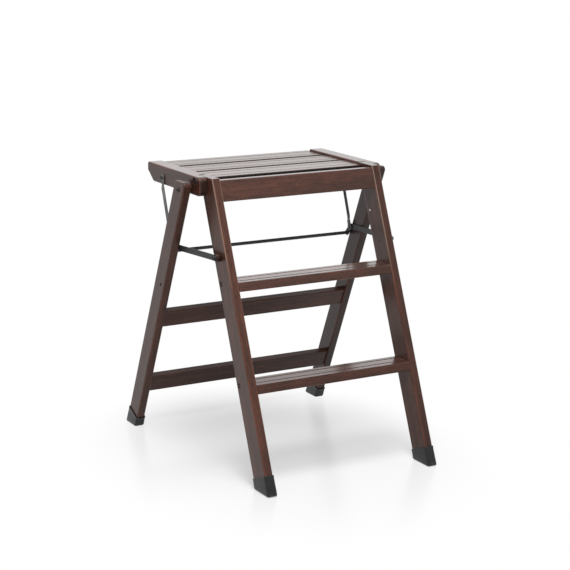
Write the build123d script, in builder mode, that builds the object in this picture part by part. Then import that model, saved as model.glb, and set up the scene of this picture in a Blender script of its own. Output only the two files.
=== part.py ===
from build123d import *
import math
import os

# A folding step ladder in stained beech: two treads and a slatted platform on a front frame,
# a rear frame hung from the platform, and a steel spreader that locks the two apart.
# The side view lies in the YZ plane with the front towards -Y. The floor is z = 0, x = 0 is the
# plane of symmetry, and y = 0 is midway between the front and rear feet.

# Overall size and lean
PLATFORM_HEIGHT = 660.0
CLEAR_WIDTH = 400.0
FRONT_LEAN = 22.1
REAR_LEAN = 23.55

# Stiles and rear legs
STILE_THICKNESS = 20.0
STILE_DEPTH = 58.0
LEG_THICKNESS = 20.0
LEG_DEPTH = 47.0
LEG_TOP_DROP = 12.0
LEG_TOP_RADIUS = 9.0
ARRIS = 3.0
TOP_ARRIS = 1.5

# Treads and apron
LOWER_TREAD_TOP = 227.5
UPPER_TREAD_TOP = 440.0
TREAD_THICKNESS = 20.0
TREAD_FRONT_SETBACK = 1.0
TREAD_BACK_SETBACK = 2.0
BOARD_RADIUS = 2.5
APRON_DROP = 5.0
APRON_HEIGHT = 46.0
APRON_THICKNESS = 16.0
APRON_SETBACK = 3.0
GROOVE_RADIUS = 2.5
GROOVE_DEPTH = 1.6
GROOVE_SHARE = 0.275

# Platform rails and slats
RAIL_HEIGHT = 43.0
RAIL_THICKNESS = 36.0
RAIL_LAP = 18.5
RAIL_NOSE_REACH = 26.0
RAIL_TAIL_REACH = 248.0
RAIL_NOSE_RADIUS = 12.0
RAIL_TAIL_RADIUS = 6.0
RAIL_TAIL_FACE = 17.0
RAIL_TAIL_UNDERCUT = 34.0
SLATS = 3
SLAT_GAP = 9.0
SLAT_THICKNESS = 18.0
SLAT_RECESS = 5.0
SLAT_OVERHANG = 10.0

# Rear rails, placed by the height of their middles
LOWER_RAIL_MIDDLE = 121.0
UPPER_RAIL_MIDDLE = 300.0
REAR_RAIL_WIDTH = 44.0
REAR_RAIL_THICKNESS = 18.0
REAR_RAIL_SETBACK = 4.5

# Rubber feet
FOOT_WALL = 2.5
FOOT_SOLE = 5.0
FOOT_HEIGHT = 44.0
FOOT_RADIUS = 4.5
FOOT_SOLE_RADIUS = 2.0

# Platform pivot in the stiles, and the rear legs' pivot in the platform rails
PIVOT_DROP = 10.0
PIVOT_INSET = 9.7
PIVOT_BOLT_RADIUS = 4.0
PIVOT_BOLT_GRIP = 17.0
PIVOT_HEAD_RADIUS = 8.0
PIVOT_HEAD_RECESS = 5.0
PIVOT_HEAD_SINK = 0.7
LEG_PIVOT_BEHIND = 26.0
LEG_PIVOT_DROP = 22.0
LEG_BOLT_GRIP = 30.0
LEG_BOLT_HEAD_RADIUS = 5.5
LEG_BOLT_HEAD = 3.2
LEG_SPACER_RADIUS = 7.0

# Spreader: struts, cross rod and the lock pins that seat in the rear legs
SPREADER_DROP = 170.0
SPREADER_BOLT_RADIUS = 3.5
SPREADER_HEAD_RADIUS = 5.5
SPREADER_HEAD = 3.0
SPREADER_NUT_RADIUS = 5.0
SPREADER_NUT = 1.6
SPREADER_SPACER_RADIUS = 9.4
SPREADER_SPACER = 12.0
SPREADER_SPACER_ROUND = 1.5
STRUT_THICKNESS = 3.0
STRUT_WIDTH = 13.0
STRUT_FRONT_FLAT = 18.0
STRUT_REAR_FLAT = 32.0
LOCK_DROP = 176.0
LOCK_INSET = 2.75
LOCK_PIN_RADIUS = 3.5
LOCK_PIN_REACH = 10.5
LOCK_SLOT_LENGTH = 24.0
LOCK_SLOT_ANGLE = 66.4
CROSS_ROD_RADIUS = 3.5
CROSS_ROD_TENON_RADIUS = 2.5
CROSS_ROD_BEHIND = 18.0
CROSS_ROD_DROP = 19.0
CROSS_NUT_RADIUS = 5.5
CROSS_NUT_HEIGHT = 3.2
CROSS_NUT_THREAD = 2.0

# Pull rods between the platform rails and the spreader
PULL_ROD_REACH = 165.0
PULL_ROD_DROP = 16.0
PULL_ROD_RADIUS = 3.5
EYE_RADIUS = 7.0
EYE_THICKNESS = 3.0
EYE_NECK_WIDTH = 10.0
EYE_NECK_LENGTH = 13.0
EYE_TAPER_LENGTH = 12.0
PULL_SCREW_RADIUS = 3.0
PULL_SCREW_GRIP = 14.0
PULL_SCREW_HEAD_RADIUS = 5.0
PULL_SCREW_HEAD = 2.5
RIVET_RADIUS = 3.0
RIVET_HEAD_RADIUS = 5.0
RIVET_INNER_HEAD = 1.5
RIVET_OUTER_HEAD = 0.8

# Wooden dowels and wood screws
DOWEL_RADIUS = 4.0
DOWEL_IN_UPRIGHT = 10.0
DOWEL_IN_CROSSPIECE = 20.0
SLAT_DOWEL_DEPTH = 15.0
SLAT_DOWEL_INSET = 12.0
SLAT_DOWEL_FRONT_INSET = 32.0
TREAD_FIXING_OFFSET = 16.5
APRON_DOWEL_PITCH = 24.0
REAR_DOWEL_PITCH = 22.0
TREAD_SCREW_RADIUS = 2.5
TREAD_SCREW_LENGTH = 35.0
TREAD_SCREW_HEAD = 3.0
TREAD_PLUG_RADIUS = 5.5
TREAD_PLUG = 5.0
TREAD_PLUG_CHAMFER = 0.8
LEG_SCREW_HEIGHT = 390.0
LEG_SCREW_DEPTH = 31.0
LEG_SCREW_RADIUS = 2.0
LEG_SCREW_LENGTH = 12.0
LEG_SCREW_HEAD_RADIUS = 4.0
LEG_SCREW_HEAD = 2.0
LEG_SCREW_RECESS = 3.0
STILE_PIN_DROP = 106.0
STILE_PIN_DEPTH = 44.0
STILE_PIN_RADIUS = 2.0
STILE_PIN_LENGTH = 12.0
STILE_PIN_HEAD_RADIUS = 3.0
STILE_PIN_HEAD = 1.2

# Clearances
RUNNING_FIT = 0.05
SIDE_GAP = 0.3
LAP_GAP = 0.5
LINK_GAP = 0.5
STRUT_GAP = 0.7
LOCK_FIT = 0.4
SWEEP_GAP = 1.3
NOTCH_GAP = 0.6
ROD_GAP = 0.4

# Layers outwards from the plane of symmetry
STILE_INNER = CLEAR_WIDTH / 2
STILE_OUTER = STILE_INNER + STILE_THICKNESS
LAP_INNER = STILE_OUTER + LAP_GAP
RAIL_OUTER = LAP_INNER + RAIL_LAP
RAIL_INNER = RAIL_OUTER - RAIL_THICKNESS
EYE_INNER = RAIL_OUTER + LINK_GAP
EYE_OUTER = EYE_INNER + EYE_THICKNESS
STRUT_INNER = EYE_OUTER + RIVET_OUTER_HEAD + LINK_GAP
STRUT_OUTER = STRUT_INNER + STRUT_THICKNESS
STRUT_FRONT_INNER = STILE_OUTER + SPREADER_SPACER + SIDE_GAP
STRUT_FRONT_OUTER = STRUT_FRONT_INNER + STRUT_THICKNESS
LEG_INNER = STRUT_OUTER + STRUT_GAP
LEG_OUTER = LEG_INNER + LEG_THICKNESS

# Stance: the floor length that brings both frames' tops together at the platform
front_angle = math.radians(FRONT_LEAN)
rear_angle = math.radians(REAR_LEAN)
pivot_z = PLATFORM_HEIGHT - PIVOT_DROP
leg_pivot_z = pivot_z - LEG_PIVOT_DROP
front_run = pivot_z * math.tan(front_angle) + (STILE_DEPTH - PIVOT_INSET) / math.cos(front_angle)
rear_run = leg_pivot_z * math.tan(rear_angle) + LEG_DEPTH / 2 / math.cos(rear_angle)
stance = front_run + LEG_PIVOT_BEHIND + rear_run
STILE_AXIS = Axis((0, 0, 0), (0, math.sin(front_angle), math.cos(front_angle)))
LEG_AXIS = Axis((0, 0, 0), (0, -math.sin(rear_angle), math.cos(rear_angle)))


def front_y(z, depth=0.0):
    """Place at a height, a depth behind the stiles' front edges measured square to them."""
    return -stance / 2 + z * math.tan(front_angle) + depth / math.cos(front_angle)


def rear_y(z, depth=0.0):
    """Place at a height, a depth ahead of the rear legs' rear edges measured square to them."""
    return stance / 2 - z * math.tan(rear_angle) - depth / math.cos(rear_angle)


def shifted(point, distance, degrees):
    """Side-view point moved a distance in a direction, counted from +Y towards +Z."""
    turn = math.radians(degrees)
    return (point[0] + distance * math.cos(turn), point[1] + distance * math.sin(turn))


# Pivots in the side view, as (y, z)
pivot = (front_y(pivot_z, STILE_DEPTH - PIVOT_INSET), pivot_z)
leg_pivot = (pivot[0] + LEG_PIVOT_BEHIND, leg_pivot_z)
spreader_z = PLATFORM_HEIGHT - SPREADER_DROP
spreader_pivot = (front_y(spreader_z, STILE_DEPTH / 2), spreader_z)
lock_z = PLATFORM_HEIGHT - LOCK_DROP
lock = (rear_y(lock_z, LOCK_INSET), lock_z)
cross = (lock[0] + CROSS_ROD_BEHIND, lock_z - CROSS_ROD_DROP)
pull = (pivot[0] + PULL_ROD_REACH, pivot_z - PULL_ROD_DROP)

# The stiles' rear top corners sweep this far from the platform pivot
corner = (front_y(PLATFORM_HEIGHT, STILE_DEPTH), PLATFORM_HEIGHT)
shoulder_y = pivot[0] + math.dist(pivot, corner) + SWEEP_GAP

# Platform heights, and the back edge of each of the slats that share the run behind the pivot
rail_bottom = PLATFORM_HEIGHT - RAIL_HEIGHT
nose_y = pivot[0] - RAIL_NOSE_REACH
tail_y = pivot[0] + RAIL_TAIL_REACH
slat_top = PLATFORM_HEIGHT - SLAT_RECESS
slat_bottom = slat_top - SLAT_THICKNESS
slat_run = tail_y + SLAT_OVERHANG - pivot[0]
slat_width = (slat_run - SLAT_GAP * (SLATS - 1)) / SLATS
slat_backs = [pivot[0] + slat_width + (slat_width + SLAT_GAP) * i for i in range(SLATS)]


def slab(points, inner, outer, mode=Mode.ADD):
    """Adds or cuts a side-view outline between two distances from the plane of symmetry."""
    with BuildSketch(Plane.YZ.offset(inner)) as outline:
        with BuildLine():
            Polyline(*points, close=True)
        make_face()
    extrude(outline.sketch, amount=outer - inner, mode=mode)


def bar(points, radius, inner, outer, mode=Mode.ADD):
    """Adds or cuts round bars along X at side-view points, between two distances."""
    with BuildSketch(Plane.YZ.offset(inner)) as section:
        with Locations(*points):
            Circle(radius)
    extrude(section.sketch, amount=outer - inner, mode=mode)


def box_outline(y0, y1, z0, z1):
    return [(y0, z0), (y1, z0), (y1, z1), (y0, z1)]


def stile_outline(z0, z1, near, far):
    """Outline parallel to the stiles between two heights and two depths."""
    return [(front_y(z0, near), z0), (front_y(z1, near), z1), (front_y(z1, far), z1), (front_y(z0, far), z0)]


def leg_outline(z0, z1, near, far):
    """Outline parallel to the rear legs between two heights and two depths."""
    return [(rear_y(z0, near), z0), (rear_y(z1, near), z1), (rear_y(z1, far), z1), (rear_y(z0, far), z0)]


def groove_places(y0, y1, top):
    """Centres of the two grooves along a top face, each a share of its width in from an edge."""
    inset = (y1 - y0) * GROOVE_SHARE
    height = top + GROOVE_RADIUS - GROOVE_DEPTH
    return [(y0 + inset, height), (y1 - inset, height)]


# Fixing points in the side view
tread_tops = (LOWER_TREAD_TOP, UPPER_TREAD_TOP)
tread_middles = [top - TREAD_THICKNESS / 2 for top in tread_tops]
tread_screw_points = [(front_y(z, STILE_DEPTH / 2 + TREAD_FIXING_OFFSET), z) for z in tread_middles]
tread_dowel_points = [(front_y(z, STILE_DEPTH / 2 - TREAD_FIXING_OFFSET), z) for z in tread_middles]
apron_top = PLATFORM_HEIGHT - APRON_DROP
apron_middle = apron_top - APRON_HEIGHT / 2
apron_dowel_heights = [apron_middle - APRON_DOWEL_PITCH / 2, apron_middle + APRON_DOWEL_PITCH / 2]
apron_dowel_points = [(front_y(z, APRON_SETBACK + APRON_THICKNESS / 2), z) for z in apron_dowel_heights]
stile_pin_z = PLATFORM_HEIGHT - STILE_PIN_DROP
stile_pin = (front_y(stile_pin_z, STILE_PIN_DEPTH), stile_pin_z)
slat_middle = (slat_top + slat_bottom) / 2
slat_dowel_insets = (SLAT_DOWEL_INSET, slat_width - SLAT_DOWEL_FRONT_INSET)
slat_dowel_points = [(back - inset, slat_middle) for back in slat_backs for inset in slat_dowel_insets]
rear_rail_depth = LEG_DEPTH - REAR_RAIL_SETBACK - REAR_RAIL_THICKNESS / 2
rear_rail_middles = (LOWER_RAIL_MIDDLE, UPPER_RAIL_MIDDLE)
rear_dowel_rise = REAR_DOWEL_PITCH / 2 * math.cos(rear_angle)
rear_dowel_heights = [z + s * rear_dowel_rise for z in rear_rail_middles for s in (-1, 1)]
rear_dowel_points = [(rear_y(z, rear_rail_depth), z) for z in rear_dowel_heights]
leg_screw = (rear_y(LEG_SCREW_HEIGHT, LEG_SCREW_DEPTH), LEG_SCREW_HEIGHT)

# Front stile: a leaning board cut level at both ends, drilled for its crosspieces and pivots
head_floor = STILE_OUTER - TREAD_PLUG - TREAD_SCREW_HEAD
with BuildPart() as front_stile_right:
    slab(stile_outline(FOOT_SOLE, PLATFORM_HEIGHT, 0, STILE_DEPTH), STILE_INNER, STILE_OUTER)
    fillet(front_stile_right.edges().filter_by(STILE_AXIS), ARRIS)
    fillet(front_stile_right.faces().sort_by(Axis.Z)[-1].edges(), TOP_ARRIS)
    bar([pivot], PIVOT_BOLT_RADIUS, STILE_OUTER - PIVOT_BOLT_GRIP, STILE_OUTER, Mode.SUBTRACT)
    bar([spreader_pivot], SPREADER_BOLT_RADIUS, STILE_INNER, STILE_OUTER, Mode.SUBTRACT)
    bar(tread_screw_points, TREAD_SCREW_RADIUS, STILE_INNER, STILE_OUTER, Mode.SUBTRACT)
    bar(tread_screw_points, TREAD_PLUG_RADIUS, head_floor, STILE_OUTER, Mode.SUBTRACT)
    bar(tread_dowel_points, DOWEL_RADIUS, STILE_INNER, STILE_INNER + DOWEL_IN_UPRIGHT, Mode.SUBTRACT)
    bar(apron_dowel_points, DOWEL_RADIUS, STILE_INNER, STILE_INNER + DOWEL_IN_UPRIGHT, Mode.SUBTRACT)
    bar([stile_pin], STILE_PIN_RADIUS, STILE_INNER, STILE_INNER + STILE_PIN_LENGTH, Mode.SUBTRACT)

with BuildPart() as front_stile_left:
    mirror(front_stile_right.part, about=Plane.YZ)


def tread(top, screw_point, dowel_point):
    """Grooved step between the stiles, its front and back faces parallel to them."""
    far = STILE_DEPTH - TREAD_BACK_SETBACK
    with BuildPart() as step:
        slab(stile_outline(top - TREAD_THICKNESS, top, TREAD_FRONT_SETBACK, far), -STILE_INNER, STILE_INNER)
        fillet(step.edges().filter_by(Axis.X), BOARD_RADIUS)
        grooves = groove_places(front_y(top, TREAD_FRONT_SETBACK), front_y(top, far), top)
        bar(grooves, GROOVE_RADIUS, -STILE_INNER, STILE_INNER, Mode.SUBTRACT)
        for end in (-STILE_INNER, STILE_INNER - DOWEL_IN_CROSSPIECE):
            bar([dowel_point], DOWEL_RADIUS, end, end + DOWEL_IN_CROSSPIECE, Mode.SUBTRACT)
        for end in (-STILE_INNER, STILE_INNER - TREAD_SCREW_LENGTH):
            bar([screw_point], TREAD_SCREW_RADIUS, end, end + TREAD_SCREW_LENGTH, Mode.SUBTRACT)
    return step


lower_tread, upper_tread = map(tread, tread_tops, tread_screw_points, tread_dowel_points)

# Apron under the front of the platform, dowelled between the stiles
with BuildPart() as front_apron:
    apron_far = APRON_SETBACK + APRON_THICKNESS
    slab(
        stile_outline(apron_top - APRON_HEIGHT, apron_top, APRON_SETBACK, apron_far),
        -STILE_INNER,
        STILE_INNER,
    )
    fillet(front_apron.edges().filter_by(Axis.X), BOARD_RADIUS)
    for apron_end in (-STILE_INNER, STILE_INNER - DOWEL_IN_CROSSPIECE):
        bar(apron_dowel_points, DOWEL_RADIUS, apron_end, apron_end + DOWEL_IN_CROSSPIECE, Mode.SUBTRACT)

with BuildPart() as front_dowels:
    dowel_points = tread_dowel_points + apron_dowel_points
    bar(dowel_points, DOWEL_RADIUS, STILE_INNER - DOWEL_IN_CROSSPIECE, STILE_INNER + DOWEL_IN_UPRIGHT)
    mirror(about=Plane.YZ)

with BuildPart() as tread_screws:
    bar(tread_screw_points, TREAD_SCREW_RADIUS, STILE_INNER - TREAD_SCREW_LENGTH, head_floor)
    bar(tread_screw_points, TREAD_PLUG_RADIUS, head_floor, head_floor + TREAD_SCREW_HEAD)
    mirror(about=Plane.YZ)

with BuildPart() as tread_plugs:
    bar(tread_screw_points, TREAD_PLUG_RADIUS, STILE_OUTER - TREAD_PLUG, STILE_OUTER)
    chamfer(tread_plugs.faces().group_by(Axis.X)[-1].edges(), TREAD_PLUG_CHAMFER)
    mirror(about=Plane.YZ)

with BuildPart() as stile_pins:
    bar([stile_pin], STILE_PIN_RADIUS, STILE_INNER, STILE_INNER + STILE_PIN_LENGTH)
    bar([stile_pin], STILE_PIN_HEAD_RADIUS, STILE_INNER - STILE_PIN_HEAD, STILE_INNER)
    chamfer(stile_pins.faces().sort_by(Axis.X)[0].edges(), STILE_PIN_HEAD / 2)
    mirror(about=Plane.YZ)

# Rubber feet: boots closed by a level sole and cut square to the timber at the top
with BuildPart() as front_foot_right:
    front_foot_top = (front_y(FOOT_HEIGHT), FOOT_HEIGHT)
    slab(
        [
            (front_y(0, -FOOT_WALL), 0),
            shifted(front_foot_top, -FOOT_WALL, -FRONT_LEAN),
            shifted(front_foot_top, STILE_DEPTH + FOOT_WALL, -FRONT_LEAN),
            (front_y(0, STILE_DEPTH + FOOT_WALL), 0),
        ],
        STILE_INNER - FOOT_WALL,
        STILE_OUTER + FOOT_WALL,
    )
    fillet(front_foot_right.edges().filter_by(STILE_AXIS), FOOT_RADIUS)
    fillet(front_foot_right.faces().sort_by(Axis.Z)[0].edges(), FOOT_SOLE_RADIUS)
    add(front_stile_right.part, mode=Mode.SUBTRACT)

with BuildPart() as front_foot_left:
    mirror(front_foot_right.part, about=Plane.YZ)

# Rear leg: pivots on the platform rail and holds the spreader's lock pin in a blind notch
with BuildPart() as rear_leg_right:
    leg_top = PLATFORM_HEIGHT - LEG_TOP_DROP
    slab(leg_outline(FOOT_SOLE, leg_top, 0, LEG_DEPTH), LEG_INNER, LEG_OUTER)
    fillet(rear_leg_right.faces().sort_by(Axis.Z)[-1].edges().filter_by(Axis.X), LEG_TOP_RADIUS)
    fillet(rear_leg_right.edges().filter_by(LEG_AXIS), ARRIS)
    bar([leg_pivot], PIVOT_BOLT_RADIUS + RUNNING_FIT, LEG_INNER, LEG_OUTER, Mode.SUBTRACT)
    bar(rear_dowel_points, DOWEL_RADIUS, LEG_INNER, LEG_INNER + DOWEL_IN_UPRIGHT, Mode.SUBTRACT)
    bar([leg_screw], LEG_SCREW_HEAD_RADIUS, LEG_OUTER - LEG_SCREW_RECESS, LEG_OUTER, Mode.SUBTRACT)
    bar([leg_screw], LEG_SCREW_RADIUS, LEG_OUTER - LEG_SCREW_LENGTH, LEG_OUTER, Mode.SUBTRACT)
    with BuildSketch(Plane.YZ.offset(LEG_INNER)) as notch:
        with Locations(shifted(lock, LOCK_SLOT_LENGTH / 2, LOCK_SLOT_ANGLE)):
            SlotCenterToCenter(
                LOCK_SLOT_LENGTH,
                2 * (LOCK_PIN_RADIUS + LOCK_FIT),
                rotation=LOCK_SLOT_ANGLE,
            )
    extrude(notch.sketch, amount=LOCK_PIN_REACH + 2 * LOCK_FIT, mode=Mode.SUBTRACT)

with BuildPart() as rear_leg_left:
    mirror(rear_leg_right.part, about=Plane.YZ)


def rear_rail(middle, dowel_points):
    """Board between the rear legs, turned parallel to them."""
    with BuildPart() as rail:
        with BuildSketch(Plane.YZ.offset(-LEG_INNER)):
            with Locations((rear_y(middle, rear_rail_depth), middle)):
                Rectangle(REAR_RAIL_THICKNESS, REAR_RAIL_WIDTH, rotation=REAR_LEAN)
        extrude(amount=2 * LEG_INNER)
        fillet(rail.edges().filter_by(Axis.X), BOARD_RADIUS)
        for end in (-LEG_INNER, LEG_INNER - DOWEL_IN_CROSSPIECE):
            bar(dowel_points, DOWEL_RADIUS, end, end + DOWEL_IN_CROSSPIECE, Mode.SUBTRACT)
    return rail


rear_rail_lower = rear_rail(LOWER_RAIL_MIDDLE, rear_dowel_points[:2])
rear_rail_upper = rear_rail(UPPER_RAIL_MIDDLE, rear_dowel_points[2:])

with BuildPart() as rear_dowels:
    bar(rear_dowel_points, DOWEL_RADIUS, LEG_INNER - DOWEL_IN_CROSSPIECE, LEG_INNER + DOWEL_IN_UPRIGHT)
    mirror(about=Plane.YZ)

with BuildPart() as rear_leg_screws:
    screw_seat = LEG_OUTER - LEG_SCREW_RECESS
    bar([leg_screw], LEG_SCREW_RADIUS, LEG_OUTER - LEG_SCREW_LENGTH, screw_seat)
    bar([leg_screw], LEG_SCREW_HEAD_RADIUS, screw_seat, screw_seat + LEG_SCREW_HEAD)
    mirror(about=Plane.YZ)

with BuildPart() as rear_foot_right:
    rear_foot_top = (rear_y(FOOT_HEIGHT), FOOT_HEIGHT)
    slab(
        [
            (rear_y(0, -FOOT_WALL), 0),
            shifted(rear_foot_top, -FOOT_WALL, 180 + REAR_LEAN),
            shifted(rear_foot_top, LEG_DEPTH + FOOT_WALL, 180 + REAR_LEAN),
            (rear_y(0, LEG_DEPTH + FOOT_WALL), 0),
        ],
        LEG_INNER - FOOT_WALL,
        LEG_OUTER + FOOT_WALL,
    )
    fillet(rear_foot_right.edges().filter_by(LEG_AXIS), FOOT_RADIUS)
    fillet(rear_foot_right.faces().sort_by(Axis.Z)[0].edges(), FOOT_SOLE_RADIUS)
    add(rear_leg_right.part, mode=Mode.SUBTRACT)

with BuildPart() as rear_foot_left:
    mirror(rear_foot_right.part, about=Plane.YZ)

# Platform rail: a beam lapped at the front to pass outside the stile, with an undercut tail
with BuildPart() as platform_rail_right:
    with BuildSketch(Plane.YZ.offset(RAIL_INNER)) as rail_outline:
        with BuildLine():
            Polyline(
                (nose_y, rail_bottom),
                (nose_y, PLATFORM_HEIGHT),
                (tail_y, PLATFORM_HEIGHT),
                (tail_y, PLATFORM_HEIGHT - RAIL_TAIL_FACE),
                (tail_y - RAIL_TAIL_UNDERCUT, rail_bottom),
                close=True,
            )
        make_face()
        fillet(rail_outline.vertices().group_by(Axis.X)[0], RAIL_NOSE_RADIUS)
        fillet(rail_outline.vertices().group_by(Axis.X)[-1].sort_by(Axis.Y)[-1], RAIL_TAIL_RADIUS)
    extrude(amount=RAIL_THICKNESS)
    fillet(platform_rail_right.edges().filter_by(Axis.Y), ARRIS)
    lap_outline = box_outline(nose_y - RAIL_NOSE_REACH, shoulder_y, rail_bottom, PLATFORM_HEIGHT)
    slab(lap_outline, RAIL_INNER, LAP_INNER, Mode.SUBTRACT)
    bar([pivot], PIVOT_BOLT_RADIUS + RUNNING_FIT, LAP_INNER, RAIL_OUTER, Mode.SUBTRACT)
    head_recess = RAIL_OUTER - PIVOT_HEAD_RECESS
    bar([pivot], PIVOT_HEAD_RADIUS + SIDE_GAP, head_recess, RAIL_OUTER, Mode.SUBTRACT)
    bar([leg_pivot], PIVOT_BOLT_RADIUS, RAIL_OUTER - LEG_BOLT_GRIP, RAIL_OUTER, Mode.SUBTRACT)
    bar([pull], PULL_SCREW_RADIUS, RAIL_OUTER - PULL_SCREW_GRIP, RAIL_OUTER, Mode.SUBTRACT)
    bar(slat_dowel_points, DOWEL_RADIUS, RAIL_INNER, RAIL_INNER + SLAT_DOWEL_DEPTH, Mode.SUBTRACT)

with BuildPart() as platform_rail_left:
    mirror(platform_rail_right.part, about=Plane.YZ)


def slat(back):
    """Grooved board between the platform rails, notched where the stiles stand in its way."""
    front = back - slat_width
    with BuildPart() as board:
        slab(box_outline(front, back, slat_bottom, slat_top), -RAIL_INNER, RAIL_INNER)
        fillet(board.edges().filter_by(Axis.X), BOARD_RADIUS)
        bar(groove_places(front, back, slat_top), GROOVE_RADIUS, -RAIL_INNER, RAIL_INNER, Mode.SUBTRACT)
        notch_outline = box_outline(nose_y, shoulder_y, slat_bottom, slat_top)
        slab(notch_outline, STILE_INNER - NOTCH_GAP, RAIL_INNER, Mode.SUBTRACT)
        slab(notch_outline, -RAIL_INNER, NOTCH_GAP - STILE_INNER, Mode.SUBTRACT)
        dowels = [point for point in slat_dowel_points if front < point[0] < back]
        for end in (-RAIL_INNER, RAIL_INNER - SLAT_DOWEL_DEPTH):
            bar(dowels, DOWEL_RADIUS, end, end + SLAT_DOWEL_DEPTH, Mode.SUBTRACT)
    return board


platform_slat_front, platform_slat_middle, platform_slat_rear = map(slat, slat_backs)

with BuildPart() as slat_dowels:
    bar(slat_dowel_points, DOWEL_RADIUS, RAIL_INNER - SLAT_DOWEL_DEPTH, RAIL_INNER + SLAT_DOWEL_DEPTH)
    mirror(about=Plane.YZ)

# Platform pivot bolts: fixed in the stiles, with heads sunk in the rails
with BuildPart() as platform_pivot_bolts:
    head_inner = head_recess + SIDE_GAP
    bar([pivot], PIVOT_BOLT_RADIUS, STILE_OUTER - PIVOT_BOLT_GRIP, head_inner)
    bar([pivot], PIVOT_HEAD_RADIUS, head_inner, RAIL_OUTER - PIVOT_HEAD_SINK)
    mirror(about=Plane.YZ)

# Rear leg pivots: bolts fixed in the rails, with spacer tubes beside the legs
with BuildPart() as rear_pivot_bolts:
    leg_head_inner = LEG_OUTER + SIDE_GAP
    bar([leg_pivot], PIVOT_BOLT_RADIUS, RAIL_OUTER - LEG_BOLT_GRIP, leg_head_inner)
    bar([leg_pivot], LEG_BOLT_HEAD_RADIUS, leg_head_inner, leg_head_inner + LEG_BOLT_HEAD)
    chamfer(rear_pivot_bolts.faces().sort_by(Axis.X)[-1].edges(), LEG_BOLT_HEAD / 2)
    mirror(about=Plane.YZ)

with BuildPart() as rear_pivot_spacers:
    bar([leg_pivot], LEG_SPACER_RADIUS, RAIL_OUTER, LEG_INNER - SIDE_GAP)
    bar([leg_pivot], PIVOT_BOLT_RADIUS, RAIL_OUTER, LEG_INNER - SIDE_GAP, Mode.SUBTRACT)
    mirror(about=Plane.YZ)

# Spreader pivots: bolts through the stiles and through wooden spacers that carry the struts
with BuildPart() as spreader_spacer_right:
    spacer_outer = STILE_OUTER + SPREADER_SPACER
    bar([spreader_pivot], SPREADER_SPACER_RADIUS, STILE_OUTER, spacer_outer)
    fillet(spreader_spacer_right.faces().sort_by(Axis.X)[-1].edges(), SPREADER_SPACER_ROUND)
    bar([spreader_pivot], SPREADER_BOLT_RADIUS, STILE_OUTER, spacer_outer, Mode.SUBTRACT)

with BuildPart() as spreader_spacer_left:
    mirror(spreader_spacer_right.part, about=Plane.YZ)

with BuildPart() as spreader_pivot_bolts:
    spreader_head_inner = STRUT_FRONT_OUTER + SIDE_GAP
    bar([spreader_pivot], SPREADER_NUT_RADIUS, STILE_INNER - SPREADER_NUT, STILE_INNER)
    bar([spreader_pivot], SPREADER_BOLT_RADIUS, STILE_INNER, spreader_head_inner)
    bar([spreader_pivot], SPREADER_HEAD_RADIUS, spreader_head_inner, spreader_head_inner + SPREADER_HEAD)
    chamfer(spreader_pivot_bolts.faces().sort_by(Axis.X)[-1].edges(), SPREADER_HEAD / 2)
    chamfer(spreader_pivot_bolts.faces().sort_by(Axis.X)[0].edges(), SPREADER_NUT / 2)
    mirror(about=Plane.YZ)


def link(start, end, width):
    """Round-ended bar outline between two side-view points."""
    middle = ((start[0] + end[0]) / 2, (start[1] + end[1]) / 2)
    angle = math.degrees(math.atan2(end[1] - start[1], end[0] - start[0]))
    with Locations(middle):
        SlotCenterToCenter(math.dist(start, end), width, rotation=angle)


# Spreader strut: a flat bar from its pivot to the lock pin, with a lobe down to the cross rod. Seen from
# above it is set outwards between two flats, from the spacer on the stile to the rear leg.
strut_path = [
    (STRUT_FRONT_INNER, spreader_pivot[0] - STRUT_WIDTH),
    (STRUT_FRONT_INNER, spreader_pivot[0] + STRUT_FRONT_FLAT),
    (STRUT_INNER, lock[0] - STRUT_REAR_FLAT),
    (STRUT_INNER, cross[0] + STRUT_WIDTH),
]
with BuildPart() as spreader_strut_right:
    with BuildSketch() as strut_band:
        with BuildLine():
            Polyline(*strut_path, *[(x + STRUT_THICKNESS, y) for x, y in reversed(strut_path)], close=True)
        make_face()
    extrude(amount=PLATFORM_HEIGHT)
    with BuildSketch(Plane.YZ.offset(STILE_OUTER)) as strut_outline:
        link(spreader_pivot, lock, STRUT_WIDTH)
        link(lock, cross, STRUT_WIDTH)
    extrude(amount=LEG_INNER - STILE_OUTER, mode=Mode.INTERSECT)
    bar([spreader_pivot], SPREADER_BOLT_RADIUS + RUNNING_FIT, STILE_OUTER, LEG_INNER, Mode.SUBTRACT)
    bar([lock], LOCK_PIN_RADIUS, STRUT_INNER, STRUT_OUTER, Mode.SUBTRACT)
    bar([cross], CROSS_ROD_TENON_RADIUS, STRUT_INNER, STRUT_OUTER, Mode.SUBTRACT)

with BuildPart() as spreader_strut_left:
    mirror(spreader_strut_right.part, about=Plane.YZ)

with BuildPart() as lock_pins:
    bar([lock], LOCK_PIN_RADIUS, STRUT_INNER, LEG_INNER + LOCK_PIN_REACH)
    mirror(about=Plane.YZ)

with BuildPart() as cross_rod:
    tenon_end = STRUT_OUTER + CROSS_NUT_THREAD
    bar([cross], CROSS_ROD_RADIUS, -STRUT_INNER, STRUT_INNER)
    bar([cross], CROSS_ROD_TENON_RADIUS, -tenon_end, tenon_end)

with BuildPart() as cross_rod_nuts:
    bar([cross], CROSS_NUT_RADIUS, STRUT_OUTER, STRUT_OUTER + CROSS_NUT_HEIGHT)
    chamfer(cross_rod_nuts.faces().sort_by(Axis.X)[-1].edges(), CROSS_NUT_HEIGHT / 2)
    bar([cross], CROSS_ROD_TENON_RADIUS, STRUT_OUTER, tenon_end, Mode.SUBTRACT)
    mirror(about=Plane.YZ)

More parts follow.
